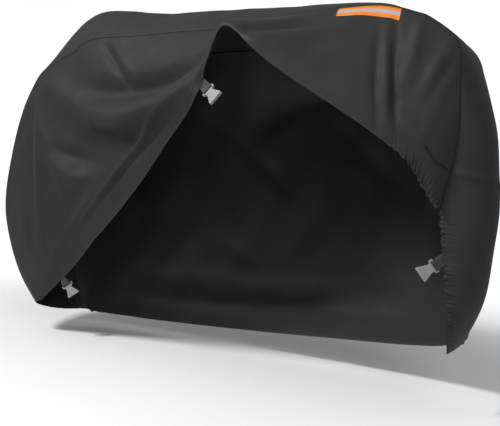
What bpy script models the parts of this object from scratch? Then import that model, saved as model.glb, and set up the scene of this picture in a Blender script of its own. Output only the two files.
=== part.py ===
"""Fitted cycle cover, worn, with its near side lifted: three sewn cloth pieces and their fittings.

Metres, +Z up, +X towards the cover's front end, -Y the near side. Heights in the tables are above
the ground, and distances along the cover are from its middle. The model's origin is under the top
strip, in the middle of the length, where the cover is carried.
"""
import math
from collections import namedtuple

import bmesh
import bpy
import numpy as np
from mathutils import Matrix, Vector

# Cloth
CLOTH = 0.0015            # coated polyester with its turned seam allowances
CLEAR = 0.0004            # left between pieces that touch
SEAM_GAP = CLOTH / 2 + CLEAR
REST_HEIGHT = 1.1602      # inner face of the top strip above the ground, at the origin

# Webbing straps, each folded over the bar of a buckle half
WEB = 0.0012
WEB_WIDTH = 0.030
WEB_TUCK = 0.012          # sewn under the hem
WEB_LAYER = WEB / 2 + CLEAR    # from the fold's middle to the middle of each layer
WEB_UNDER = 0.0010        # from the hem's inner face to the strap
WEB_STEPS = 6             # rows of the webbing between the hem and the buckle

# The buckle's open half; along it is from the end of the bar to the mouth
BUCKLE_THICK = 0.009
BUCKLE_ROUND = 0.0006
BAR = 0.0032
BAR_THICK = 0.004
BAR_ARMS = 0.0095         # length of the thin end that holds the bar
SLOT = 0.0036             # beyond the bar, for the webbing
SLOT_WIDTH = WEB_WIDTH + 0.003
MOUTH_WIDTH = 0.033
MOUTH_HEIGHT = 0.0036
MOUTH_DEPTH = 0.009
LOOP_RADIUS = 0.0035      # of the webbing's middle, round the bar
LOOP_TURN = 115           # degrees from the pull to where the webbing leaves the loop
LOOP_START = 0.007        # from the bar's end back to where the two layers part

# Tape sewn on the near side below the seam, and the welt of the slit near its front end
TAPE = 0.0010
TAPE_COLUMNS = 7          # of the near side's grid, forward from the strip row named brow
TAPE_ROWS = (0.30, 1.0, 2.0, 2.40)
WELT = 0.0012
WELT_WIDTH = 0.0055
WELT_STEPS = 14
LIFT = CLOTH / 2 + 0.0006    # of the inner face of tape and welt above the cloth's middle

# Cells of each cloth piece's grid from edge to edge; its columns follow the strip's rows
STRIP_CELLS = 8
NEAR_CELLS = 22
FAR_CELLS = 8
CROWDING = 0.07           # draws the near side's rows together where its hem folds lie
FAR_LEAN = 1.4            # draws the far side's rows up towards its seam
FOLD_TAPER = 0.7          # how soon a fold dies out at its ends

# A row for each section of the top strip, from the rear hem up, over and down to the front hem:
# its middle line (x, z), half its width, how far its seams lie inside the middle line, how far
# round its section curls in degrees, how much lower its far seam hangs than its near one, and the
# columns up to the next row.
Strip = namedtuple("Strip", "name x z half drop curl tilt columns")
STRIP = [
    Strip("rear_hem", -0.716, 0.100, 0.110, 0.012, 40, 0.045, 2),
    Strip("rear_tuck", -0.793, 0.168, 0.130, 0.036, 40, 0.020, 2),
    Strip("rear_low", -0.878, 0.310, 0.145, 0.050, 40, 0, 3),
    Strip("rear_mid", -0.920, 0.459, 0.150, 0.052, 40, 0, 4),
    Strip("rear_high", -0.900, 0.660, 0.150, 0.052, 40, 0, 4),
    Strip("rear_shoulder", -0.813, 0.905, 0.150, 0.052, 40, 0, 2),
    Strip("rear_corner", -0.758, 1.012, 0.150, 0.077, 40, 0, 3),
    Strip("rear_slope", -0.667, 1.136, 0.150, 0.152, 45, 0, 3),
    Strip("hump_rear", -0.544, 1.217, 0.150, 0.179, 50, 0, 4),
    Strip("hump_top", -0.430, 1.222, 0.150, 0.147, 50, 0, 4),
    Strip("hump_front", -0.330, 1.204, 0.150, 0.127, 50, 0, 4),
    Strip("dip", -0.220, 1.182, 0.150, 0.112, 45, 0, 4),
    Strip("middle", 0.000, 1.161, 0.150, 0.100, 40, 0, 3),
    Strip("crown_rear", 0.150, 1.147, 0.150, 0.094, 30, 0, 4),
    Strip("crown", 0.300, 1.133, 0.150, 0.077, 20, 0, 4),
    Strip("crown_front", 0.448, 1.118, 0.150, 0.056, 20, 0, 3),
    Strip("brow", 0.550, 1.108, 0.145, 0.046, 20, 0, 3),
    Strip("brow_front", 0.652, 1.090, 0.135, 0.031, 20, 0, 5),
    Strip("nose_top", 0.736, 1.043, 0.125, 0.005, 20, 0, 4),
    Strip("nose", 0.811, 1.001, 0.115, 0.003, 20, 0, 3),
    Strip("nose_front", 0.860, 0.946, 0.110, 0.004, 30, 0, 2),
    Strip("front_upper", 0.895, 0.871, 0.110, 0.028, 50, 0, 3),
    Strip("front_high", 0.927, 0.756, 0.110, 0.057, 65, 0, 3),
    Strip("front_mid", 0.941, 0.649, 0.110, 0.083, 75, 0, 3),
    Strip("front_belly", 0.946, 0.530, 0.112, 0.113, 80, 0, 2),
    Strip("front_low", 0.938, 0.421, 0.112, 0.097, 80, 0, 3),
    Strip("front_lower", 0.921, 0.302, 0.112, 0.067, 75, 0, 3),
    Strip("front_hem", 0.866, 0.167, 0.095, 0.004, 50, -0.018, 0),
]

# A row for each run of a side piece's columns: the strip row its seam end lies at, its hem point,
# how far out the cloth bellies between the two, and how far down the column it does so most.
Side = namedtuple("Side", "at hem_x hem_y hem_z belly peak")
NEAR = [
    Side("rear_hem", -0.660, -0.120, 0.130, -0.122, 0.5),
    Side("rear_low", -0.530, -0.143, 0.218, -0.165, 0.5),
    Side("rear_mid", -0.440, -0.160, 0.281, -0.185, 0.5),
    Side("rear_high", -0.350, -0.180, 0.353, -0.195, 0.5),
    Side("rear_corner", -0.250, -0.205, 0.424, -0.212, 0.6),
    Side("hump_rear", -0.130, -0.235, 0.512, -0.235, 0.9),
    Side("hump_front", -0.009, -0.270, 0.606, -0.270, 1.0),
    Side("middle", 0.130, -0.308, 0.727, -0.308, 1.0),
    Side("crown_rear", 0.232, -0.338, 0.834, -0.338, 1.0),
    Side("crown", 0.306, -0.352, 0.985, -0.352, 1.0),
    Side("crown_front", 0.430, -0.340, 0.898, -0.340, 1.0),
    Side("brow", 0.560, -0.295, 0.805, -0.295, 1.0),
    Side("brow_front", 0.665, -0.256, 0.733, -0.256, 1.0),
    Side("nose", 0.765, -0.205, 0.650, -0.205, 1.0),
    Side("front_upper", 0.788, -0.183, 0.614, -0.184, 1.0),
    Side("front_mid", 0.810, -0.155, 0.565, -0.158, 1.0),
    Side("front_belly", 0.826, -0.140, 0.535, -0.142, 1.0),
]
FAR = [
    Side("rear_hem", -0.665, 0.130, 0.060, 0.132, 0.5),
    Side("rear_low", -0.590, 0.158, 0.055, 0.180, 0.5),
    Side("rear_mid", -0.520, 0.175, 0.053, 0.205, 0.5),
    Side("rear_high", -0.430, 0.190, 0.052, 0.230, 0.5),
    Side("rear_corner", -0.330, 0.200, 0.054, 0.250, 0.45),
    Side("hump_front", -0.180, 0.205, 0.060, 0.270, 0.4),
    Side("middle", 0.020, 0.210, 0.070, 0.300, 0.3),
    Side("crown_rear", 0.140, 0.210, 0.077, 0.322, 0.20),
    Side("crown", 0.250, 0.210, 0.084, 0.340, 0.16),
    Side("crown_front", 0.360, 0.210, 0.092, 0.322, 0.20),
    Side("brow_front", 0.500, 0.205, 0.102, 0.290, 0.3),
    Side("nose", 0.610, 0.195, 0.112, 0.260, 0.4),
    Side("front_upper", 0.680, 0.185, 0.120, 0.225, 0.45),
    Side("front_high", 0.735, 0.175, 0.128, 0.200, 0.5),
    Side("front_belly", 0.790, 0.155, 0.142, 0.175, 0.5),
    Side("front_low", 0.825, 0.140, 0.152, 0.155, 0.5),
    Side("front_hem", 0.838, 0.120, 0.158, 0.120, 0.5),
]

# A row for each fold of the near side: a curve through three places in side view (x, z), half its
# width, and how far it rises out of the cloth, or sinks into it where less than 0.
Fold = namedtuple("Fold", "name x0 z0 x1 z1 x2 z2 width rise")
FOLDS = [
    Fold("pinch_rib", -0.383, 1.081, -0.302, 1.007, -0.199, 0.923, 0.020, 0.013),
    Fold("pinch_groove", -0.334, 1.059, -0.264, 1.012, -0.190, 0.958, 0.018, -0.012),
    Fold("swag_hollow", 0.234, 0.902, -0.040, 0.882, -0.373, 0.869, 0.042, -0.030),
    Fold("swag_shelf", 0.206, 0.851, -0.107, 0.777, -0.610, 0.917, 0.042, 0.030),
    Fold("under_swag", 0.071, 0.762, -0.277, 0.731, -0.582, 0.851, 0.036, -0.020),
    Fold("low_swell", 0.002, 0.726, -0.214, 0.672, -0.405, 0.706, 0.032, 0.012),
    Fold("corner_dent", -0.557, 0.692, -0.440, 0.647, -0.292, 0.621, 0.022, -0.015),
    Fold("corner_lip", -0.534, 0.655, -0.419, 0.586, -0.302, 0.588, 0.024, 0.018),
    Fold("hem_rib", 0.213, 0.834, -0.169, 0.630, -0.565, 0.251, 0.020, 0.015),
    Fold("hem_valley", 0.190, 0.789, -0.131, 0.634, -0.445, 0.371, 0.020, -0.015),
    Fold("rear_groove", -0.712, 0.880, -0.661, 0.578, -0.678, 0.242, 0.018, -0.012),
    Fold("rear_rib", -0.663, 0.837, -0.622, 0.578, -0.638, 0.263, 0.018, 0.008),
    Fold("crown_hollow", 0.372, 0.955, 0.474, 0.979, 0.573, 1.024, 0.028, -0.014),
    Fold("nose_groove", 0.718, 1.031, 0.748, 0.869, 0.763, 0.693, 0.018, -0.012),
    Fold("nose_rib", 0.761, 1.015, 0.770, 0.880, 0.778, 0.731, 0.018, 0.010),
    Fold("brow_rib", 0.850, 0.952, 0.826, 0.891, 0.797, 0.806, 0.020, 0.011),
]

# A row for each buckle strap: the cloth it is sewn under, the column of its grid, how far it turns
# from square to the hem, in degrees, the distance from the hem to the buckle, and how far the
# webbing twists over that distance, in degrees.
Strap = namedtuple("Strap", "name under column turn reach twist")
STRAPS = [
    Strap("rear", "near_side", 4.2, -6, 0.025, -40),
    Strap("middle", "near_side", 42.2, -12, 0.029, -20),
    Strap("front", "top_strip", 81.7, 30, 0.019, -28),
]

# A row for each section of the buckle's outline: its distance along, and half its width
Outline = namedtuple("Outline", "along half")
BUCKLE = [
    Outline(0.0000, 0.0190),
    Outline(0.0015, 0.0205),
    Outline(0.0080, 0.0205),
    Outline(0.0105, 0.0170),
    Outline(0.0125, 0.0122),
    Outline(0.0150, 0.0106),
    Outline(0.0185, 0.0112),
    Outline(0.0270, 0.0147),
    Outline(0.0375, 0.0188),
    Outline(0.0390, 0.0208),
    Outline(0.0455, 0.0214),
    Outline(0.0470, 0.0208),
]

# A row for each place that the slit's middle line passes: column and row of the near side's grid
Place = namedtuple("Place", "column row")
SLIT = [Place(69.6, 13.5), Place(71.4, 12.2), Place(74.2, 8.9), Place(76.0, 4.0)]


def spline(knots, values, at):
    """Values at the places in at, on the natural cubic curve through (knots, values)."""
    knots = np.asarray(knots, float)
    values = np.asarray(values, float).reshape(len(knots), -1)
    span = np.diff(knots)
    system = np.eye(len(knots))
    right = np.zeros_like(values)
    for i in range(1, len(knots) - 1):
        system[i, i - 1:i + 2] = span[i - 1], 2 * (span[i - 1] + span[i]), span[i]
        slopes = (values[i:i + 2] - values[i - 1:i + 1]) / span[i - 1:i + 1, None]
        right[i] = 6 * (slopes[1] - slopes[0])
    bend = np.linalg.solve(system, right)
    at = np.asarray(at, float)
    cell = np.clip(np.searchsorted(knots, at, side="right") - 1, 0, len(span) - 1)
    width = span[cell][:, None]
    b = (at[:, None] - knots[cell][:, None]) / width
    a = 1 - b
    curve = (a ** 3 - a) * bend[cell] + (b ** 3 - b) * bend[cell + 1]
    return a * values[cell] + b * values[cell + 1] + curve * width ** 2 / 6


def row_number(name):
    return [row.name for row in STRIP].index(name)


def strip_knots():
    """Distance along the strip's middle line of each of its rows."""
    steps = [math.dist((a.x, a.z), (b.x, b.z)) for a, b in zip(STRIP, STRIP[1:])]
    return np.concatenate([[0], np.cumsum(steps)])


def columns():
    """Distance along the strip of every column of the cloth."""
    knots = strip_knots()
    runs = [np.linspace(a, b, row.columns, endpoint=False)
            for a, b, row in zip(knots, knots[1:], STRIP)]
    return np.concatenate(runs + [knots[-1:]])


def strip_surface(at, across):
    """Points of the strip at distances at along it and -1 (near seam) to 1 (far seam) across."""
    knots = strip_knots()
    rows = [(row.x, row.z, row.half, row.drop, math.radians(row.curl), row.tilt) for row in STRIP]
    middle = spline(knots, rows, at)
    step = 1e-4
    tangent = spline(knots, rows, at + step)[:, :2] - spline(knots, rows, at - step)[:, :2]
    tangent /= np.linalg.norm(tangent, axis=1)[:, None]
    x, z, half, drop, curl, tilt = middle.T[:, :, None]
    y = half * np.sin(curl * across) / np.sin(curl)
    inset = drop * (np.sqrt(across ** 2 + 1) - 1) / (math.sqrt(2) - 1)
    # inward is the tangent turned a quarter turn
    z = z - tilt * (across + 1) / 2
    return np.stack([x + inset * tangent[:, 1:], y, z - inset * tangent[:, :1]], -1)


def side_surface(table, seam, at, down):
    """Points of a side piece: its columns run from the seam (0) down to the hem (1)."""
    knots = strip_knots()[[row_number(row.at) for row in table]]
    rows = spline(knots, [row[1:] for row in table], at)
    hem, belly, peak = rows[:, None, :3], rows[:, 3:4], np.clip(rows[:, 4:5], 0.05, 1)
    points = seam[:, None] + (hem - seam[:, None]) * down[None, :, None]
    fall = np.clip(down / peak, 0, 1)
    rest = np.clip((down - peak) / np.maximum(1 - peak, 1e-6), 0, 1)
    start, end = seam[:, 1:2], hem[:, 0, 1:2]
    out = start + (belly - start) * np.sin(fall * math.pi / 2)
    back = (end - belly) * (1 - np.cos(rest * math.pi / 2))
    points[:, :, 1] = out + back
    return points


def normals(points):
    """Unit normals of a grid of points."""
    along = np.gradient(points, axis=0)
    across = np.gradient(points, axis=1)
    normal = np.cross(along, across)
    return normal / np.linalg.norm(normal, axis=2)[:, :, None]


def fold_lift(fold, points):
    """How far one fold lifts each point."""
    ends = np.array([[fold.x0, fold.z0], [fold.x2, fold.z2]])
    bend = 2 * np.array([fold.x1, fold.z1]) - ends.mean(axis=0)
    t = np.linspace(0, 1, 41)[:, None]
    curve = (1 - t) ** 2 * ends[0] + 2 * t * (1 - t) * bend + t ** 2 * ends[1]
    away = np.linalg.norm(points[:, :, None, ::2] - curve, axis=3)
    place = t[away.argmin(axis=2), 0]
    return fold.rise * np.exp(-(away.min(axis=2) / fold.width) ** 2) * np.sin(math.pi * place) ** FOLD_TAPER


def start_after_seam(points):
    """Move the first row of points square off the seam, by the gap between the two pieces."""
    seam = np.gradient(points[:, 0], axis=0)
    seam /= np.linalg.norm(seam, axis=1)[:, None]
    away = points[:, 1] - points[:, 0]
    away -= (away * seam).sum(axis=1)[:, None] * seam
    points[:, 0] += SEAM_GAP * away / np.linalg.norm(away, axis=1)[:, None]


def paint(name, colour, roughness):
    material = bpy.data.materials.new(name)
    material.use_nodes = True
    shader = material.node_tree.nodes["Principled BSDF"]
    shader.inputs["Base Color"].default_value = (*colour, 1)
    shader.inputs["Roughness"].default_value = roughness
    return material


def sheet(name, points, thick):
    """A mesh object: a grid of cells laid through the points, with its thickness."""
    last = np.array(points.shape[:2]) - 1
    bm = bmesh.new()
    bmesh.ops.create_grid(bm, x_segments=last[0], y_segments=last[1], size=1)
    for vert in bm.verts:
        column, row = np.rint((np.array(vert.co[:2]) + 1) / 2 * last).astype(int)
        vert.co = points[column, row]
    mesh = bpy.data.meshes.new(name)
    bm.to_mesh(mesh)
    bm.free()
    mesh.shade_smooth()
    piece = bpy.data.objects.new(name, mesh)
    solid = piece.modifiers.new("thickness", "SOLIDIFY")
    solid.thickness = thick
    solid.offset = 0
    return piece


def read_grid(points, column, row):
    """Place and unit normal (away from the cover) at a place between a grid's points."""
    c, r = int(column), int(row)
    u, v = column - c, row - r
    corners = points[c:c + 2, r:r + 2]
    place = (1 - u) * ((1 - v) * corners[0, 0] + v * corners[0, 1])
    place = place + u * ((1 - v) * corners[1, 0] + v * corners[1, 1])
    along = (1 - v) * (corners[1, 0] - corners[0, 0]) + v * (corners[1, 1] - corners[0, 1])
    across = (1 - u) * (corners[0, 1] - corners[0, 0]) + u * (corners[1, 1] - corners[1, 0])
    normal = np.cross(across, along)
    return place, normal / np.linalg.norm(normal)


def tape(near):
    """Tape that follows the near side's cells just below its seam."""
    first = int(np.searchsorted(columns(), strip_knots()[row_number("brow")] - 1e-6))
    lift = LIFT + TAPE / 2
    rows = [[read_grid(near, column, row) for row in TAPE_ROWS]
            for column in range(first, first + TAPE_COLUMNS + 1)]
    return sheet("tape", np.array([[place + lift * normal for place, normal in row] for row in rows]), TAPE)


def welt(near):
    """Narrow strip of cloth along the slit."""
    middle = spline([0, 0.25, 0.65, 1], SLIT, np.linspace(0, 1, WELT_STEPS + 1))
    places, out = (np.array(part) for part in zip(*[read_grid(near, *place) for place in middle]))
    across = np.cross(out, np.gradient(places, axis=0))
    across *= WELT_WIDTH / 2 / np.linalg.norm(across, axis=1)[:, None]
    places += (LIFT + WELT / 2) * out
    return sheet("slit_welt", np.stack([places - across, places, places + across], axis=1), WELT)


def hem_frame(points, strap):
    """Where a strap leaves its hem: x along its pull, y across it, z out of the cover."""
    edge, inner = (0, 1) if strap.under == "top_strip" else (-1, -2)
    c, u = int(strap.column), strap.column % 1
    hem = (1 - u) * points[c, edge] + u * points[c + 1, edge]
    outward = hem - (1 - u) * points[c, inner] - u * points[c + 1, inner]
    along = Vector(points[c + 1, edge] - points[c, edge]).normalized()
    square = Vector(outward)
    square = (square - along * square.dot(along)).normalized()
    normal = square.cross(along)
    turn = math.radians(strap.turn)
    pull = square * math.cos(turn) + along * math.sin(turn)
    frame = Matrix((pull, normal.cross(pull), normal)).transposed().to_4x4()
    under = CLOTH / 2 + WEB_UNDER + WEB_LAYER + WEB / 2
    frame.translation = Vector(hem) - normal * under
    return frame


def strap_mesh(strap):
    """Webbing from under the hem, round the buckle's bar and back, as one sheet."""
    middle = BAR / 2
    turns = np.radians(np.linspace(LOOP_TURN, -LOOP_TURN, 13))
    loop = [(middle + LOOP_RADIUS * math.cos(a), LOOP_RADIUS * math.sin(a)) for a in turns]
    free = np.linspace(-strap.reach, -LOOP_START, WEB_STEPS + 1)
    upper = [(along, WEB_LAYER) for along in (-strap.reach - WEB_TUCK, *free)]
    lower = [(along, -up) for along, up in reversed(upper)]
    path = upper + loop + lower
    across = np.linspace(-WEB_WIDTH / 2, WEB_WIDTH / 2, 5)
    rows = []
    for along, up in path:
        twist = math.radians(strap.twist) * np.interp(along, free[[1, -1]], (0, 1))
        turned = Matrix.Rotation(twist, 3, "X")
        rows.append([turned @ Vector((strap.reach + along, y, up)) for y in across])
    return sheet(strap.name + "_strap", np.array(rows), WEB)


def block(name, low, high, cutters):
    """A cutter: the box between two corners."""
    bm = bmesh.new()
    bmesh.ops.create_cube(bm, size=1)
    size = Vector(high) - Vector(low)
    bmesh.ops.scale(bm, vec=size, verts=bm.verts)
    bmesh.ops.translate(bm, vec=Vector(low) + size / 2, verts=bm.verts)
    mesh = bpy.data.meshes.new(name)
    bm.to_mesh(mesh)
    bm.free()
    cutter = bpy.data.objects.new(name, mesh)
    cutter.hide_render = True
    cutter.display_type = "WIRE"
    cutters.objects.link(cutter)
    return cutter


def outline_mesh(name, outline, thick, cutters):
    """Mesh of a flat plate with the given outline, symmetric about the x axis."""
    curve = bpy.data.curves.new(name, "CURVE")
    curve.dimensions = "2D"
    curve.fill_mode = "BOTH"
    curve.extrude = thick / 2
    points = [(row.along, row.half) for row in outline]
    points += [(along, -half) for along, half in reversed(points)]
    line = curve.splines.new("POLY")
    line.points.add(len(points) - 1)
    for point, (x, y) in zip(line.points, points):
        point.co = (x, y, 0, 1)
    line.use_cyclic_u = True
    plate = bpy.data.objects.new(name, curve)
    cutters.objects.link(plate)
    bpy.context.view_layer.update()
    graph = bpy.context.evaluated_depsgraph_get()
    mesh = bpy.data.meshes.new_from_object(plate.evaluated_get(graph))
    bpy.data.objects.remove(plate)
    bm = bmesh.new()
    bm.from_mesh(mesh)
    bmesh.ops.remove_doubles(bm, verts=bm.verts, dist=1e-5)
    bm.to_mesh(mesh)
    bm.free()
    return mesh


def buckle_mesh(material, cutters):
    """The buckle's half with the mouth, its bar at the origin's side and its mouth along +x."""
    blank = bpy.data.objects.new("blank", outline_mesh("plate", BUCKLE, BUCKLE_THICK, cutters))
    cutters.objects.link(blank)
    length, wide, beyond = BUCKLE[-1].along, 0.030, 0.010
    boxes = [
        ("mouth", (length - MOUTH_DEPTH, -MOUTH_WIDTH / 2, -MOUTH_HEIGHT / 2),
         (length + beyond, MOUTH_WIDTH / 2, MOUTH_HEIGHT / 2)),
        ("slot", (BAR, -SLOT_WIDTH / 2, -beyond), (BAR + SLOT, SLOT_WIDTH / 2, beyond)),
        ("over_bar", (-beyond, -wide, BAR_THICK / 2), (BAR_ARMS, wide, beyond)),
        ("under_bar", (-beyond, -wide, -beyond), (BAR_ARMS, wide, -BAR_THICK / 2)),
    ]
    for name, low, high in boxes:
        cut = blank.modifiers.new(name, "BOOLEAN")
        cut.operation = "DIFFERENCE"
        cut.object = block("cut_" + name, low, high, cutters)
    edge = blank.modifiers.new("round", "BEVEL")
    edge.width = BUCKLE_ROUND
    edge.segments = 1
    edge.limit_method = "ANGLE"
    edge.angle_limit = math.radians(50)
    bpy.context.view_layer.update()
    graph = bpy.context.evaluated_depsgraph_get()
    mesh = bpy.data.meshes.new_from_object(blank.evaluated_get(graph))
    bpy.data.objects.remove(blank)
    mesh.name = "buckle"
    mesh.shade_smooth()
    mesh.set_sharp_from_angle(angle=math.radians(35))
    mesh.materials.append(material)
    return mesh


def place(piece, material, parts):
    """Give a piece its material and put it in the model, its origin under the top strip."""
    if material:
        piece.data.materials.append(material)
    piece.matrix_world = Matrix.Translation((0, 0, -REST_HEIGHT)) @ piece.matrix_world
    parts.objects.link(piece)


def main():
    for leftover in list(bpy.data.objects):
        bpy.data.objects.remove(leftover)
    parts = bpy.data.collections.new("cycle_cover")
    cutters = bpy.data.collections.new("cutters")
    for collection in (parts, cutters):
        bpy.context.scene.collection.children.link(collection)
    fabric = paint("coated polyester", (0.042, 0.042, 0.042), 0.75)
    webbing = paint("webbing", (0.060, 0.060, 0.060), 0.85)
    moulded = paint("grey acetal", (0.310, 0.310, 0.310), 0.45)
    reflective = paint("reflective tape", (0.800, 0.200, 0.013), 0.40)

    at = columns()
    strip = strip_surface(at, np.linspace(-1, 1, STRIP_CELLS + 1))
    place(sheet("top_strip", strip, CLOTH), fabric, parts)

    lifted = at <= strip_knots()[row_number(NEAR[-1].at)] + 1e-6
    even = np.linspace(0, 1, NEAR_CELLS + 1)
    down = even + CROWDING * (np.sin(2 * math.pi * (even - 0.3)) + math.sin(0.6 * math.pi))
    near = side_surface(NEAR, strip[lifted, 0], at[lifted], down)
    out = -normals(near)
    near += out * sum((fold_lift(fold, near) for fold in FOLDS), np.zeros(near.shape[:2]))[:, :, None]
    start_after_seam(near)
    place(sheet("near_side", near, CLOTH), fabric, parts)

    far = side_surface(FAR, strip[:, -1], at, np.linspace(0, 1, FAR_CELLS + 1) ** FAR_LEAN)
    start_after_seam(far)
    place(sheet("far_side", far, CLOTH), fabric, parts)

    place(tape(near), reflective, parts)
    place(welt(near), fabric, parts)

    buckle = buckle_mesh(moulded, cutters)
    for strap in STRAPS:
        frame = hem_frame(near if strap.under == "near_side" else strip, strap)
        band = strap_mesh(strap)
        band.matrix_world = frame
        place(band, webbing, parts)
        half = bpy.data.objects.new(strap.name + "_buckle", buckle)
        half.matrix_world = frame @ Matrix.Rotation(math.radians(strap.twist), 4, "X") @ Matrix.Translation(
            (strap.reach, 0, 0))
        place(half, None, parts)


main()
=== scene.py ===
"""Looks of a fitted cycle cover, worn, with its near side lifted.

Dark coated polyester sewn from a long top strip and two side pieces, with webbing straps, moulded
buckle halves, a sewn tape and a welted slit. Metres, +Z up, +X towards the cover's front end, -Y the
near side. Heights in the tables are above the ground, distances along the cover from its middle.
"""
import math
from collections import namedtuple

import bmesh
import bpy
import numpy as np
from mathutils import Matrix, Vector
from mathutils.bvhtree import BVHTree


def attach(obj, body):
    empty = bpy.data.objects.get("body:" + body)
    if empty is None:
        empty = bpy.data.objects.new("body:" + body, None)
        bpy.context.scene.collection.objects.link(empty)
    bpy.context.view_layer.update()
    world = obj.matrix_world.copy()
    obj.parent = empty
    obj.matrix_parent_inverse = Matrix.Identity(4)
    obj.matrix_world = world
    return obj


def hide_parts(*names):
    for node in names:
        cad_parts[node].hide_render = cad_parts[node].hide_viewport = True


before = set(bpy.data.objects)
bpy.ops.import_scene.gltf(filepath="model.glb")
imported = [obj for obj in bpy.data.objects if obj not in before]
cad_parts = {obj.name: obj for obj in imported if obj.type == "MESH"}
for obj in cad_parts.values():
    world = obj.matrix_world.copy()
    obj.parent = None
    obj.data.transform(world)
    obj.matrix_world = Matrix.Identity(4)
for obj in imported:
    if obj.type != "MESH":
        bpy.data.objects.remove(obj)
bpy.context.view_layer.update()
scene = bpy.context.scene

MM = 0.001

# Sizes shared with the solids
REST_HEIGHT = 1.1602      # inner face of the top strip above the ground, at the origin
SOLID_CLOTH = 0.0015      # thickness of the cloth's solids
SEAM_GAP = SOLID_CLOTH / 2 + 0.0004     # from the strip's edge to a side piece
WEB = 0.0012              # thickness of the webbing
WEB_WIDTH = 0.030
WEB_TUCK = 0.012          # sewn under the hem
WEB_LAYER = WEB / 2 + 0.0004    # from the fold's middle to the middle of each layer
WEB_UNDER = 0.0010        # from the hem's inner face to the strap
WEB_STEPS = 6             # the webbing starts to twist one such step beyond the hem
BAR = 0.0032              # thickness of the buckle's bar
LOOP_RADIUS = 0.0035      # of the webbing's middle, round the bar
LOOP_TURN = 115           # degrees from the pull to where the webbing leaves the loop
LOOP_START = 0.007        # from the bar's end back to where the two layers part
TAPE_COLUMNS = 7          # of the near side's solid, forward from the strip row named brow
TAPE_ROWS = (0.30, 2.40)  # of the same solid, down from its seam
WELT_WIDTH = 0.0075
STRIP_CELLS = 8           # of the strip's solid, from seam to seam
NEAR_CELLS = 22           # of the near side's solid, from seam to hem
CROWDING = 0.07           # how much closer its rows lie towards the hem
FOLD_TAPER = 0.7          # how bluntly its folds end

# Cloth as it shows: its real thickness is under a millimetre, and its turned hems are thicker
CLOTH = 0.0012
ALONG_STEP = 0.0086       # of the side pieces' grids along the seam
GATHER_STEP = 0.0062      # the same, where the hem is gathered
STRIP_STEP = 0.0056
FREE_STEP = 0.0026        # of the strip's grid, where its near edge is free and gathered
NEAR_ROWS = 84            # between the close rows at seam and hem
FAR_ROWS = 64
STRIP_ROWS = 33           # between the close rows at both seams
EASED_FROM = (1.02, 1.14)       # along the strip, over its hump: here the easing of the columns fades in
EASED_TO = (1.44, 1.62)         # and here it fades out
EASED_TIMES = 3
SOFT_TAPER = 1.3          # how softly folds end where they show
HEM_BAND = 0.024          # turned hem, up to its stitching
HEM_PROUD = 0.0010        # how far the turned hem stands out
SEAM_SINK = 0.0018        # how far the cloth is drawn in at a seam
SEAM_SOFT = 0.0050        # over which distance
SEAM_ALLOWANCE = 0.006    # of the side pieces, under the strip's edge
UNDER_EDGE = 1.7 * SEAM_SINK    # how far the allowance lies below the strip at the strip's edge
UNDER_END = 1.3 * SEAM_SINK     # and at its own end
SEWN_UP = CLOTH / 2 + 0.1 * MM  # of the thread above the cloth's middle
TOPSTITCH = 3             # line of the strip's grid with the topstitching, from either seam; a side's is
                          # one line further from its seam
HEM_STITCH = -7           # row of a side's grid with the hem's stitching
STITCH = 0.0034
STITCH_PITCH = 0.0046
THREAD = 0.00040          # radius of the sewing thread
PLEAT = 0.0115            # from one pleat of the gathered hem to the next
PLEAT_DEPTH = 0.0040
SLOW_PLEAT = 0.036        # the same, where no elastic draws the hem up
PLEAT_REACH = 0.015       # how far the pleats run in from the hem
SCALLOP = 0.0024          # how far a gathered hem's edge is drawn in
SCALLOP_REACH = 0.02
REAR_GATHERS = 0.6        # strength of the gathers along the near side's rear end
FAR_GATHERS = 0.25        # and along the far side, from its middle
FAR_END_GATHERS = 0.6     # what its two ends have more
STRIP_END_GATHERS = 0.08
NEAR_SWELLS = (0.16, 0.0016)    # length and depth of the slow swells
FAR_SWELLS = (0.30, 0.0035)
STRIP_SWELLS = (0.22, 0.0012)
RUBBED = 0.7              # how pale the hem's edge is rubbed, 0 to 1
RUB_REACH = 0.004
TAPE = 0.0007             # thickness
TAPE_CLEAR = 0.0004       # under tape and welt
WELT = 0.0008             # thickness
STRAP_UNDER = SOLID_CLOTH / 2 + WEB_UNDER + WEB_LAYER + WEB / 2     # cloth's middle to the bar's
STRAP_PRESS = 0.026       # round a strap's sewn end, how far the cloth is drawn flat
SETTLE = 0.06             # from the seam, where the near side's own form has taken over
REACH_OUT = 0.04          # from a place on the solid out past the cloth, and REACH_IN back from there
REACH_IN = 0.09
STRIP_CREASE = 0.004      # rise of the crease across the strip near its front end
CREASE_AT = 3.131
CREASE_LEAN = 0.036       # how much further along it lies at the strip's far seam than at its middle
CREASE_WIDTH = 0.012
CREST_DENT = -0.0030      # of the soft groove that runs along the strip from the hump's top
CREST_ACROSS = -0.50
CREST_WIDTH = 0.13
CREST_FROM = (1.25, 1.50)       # along the strip: here the groove sets in
CREST_TO = (1.90, 2.15)         # and here it dies out

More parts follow.
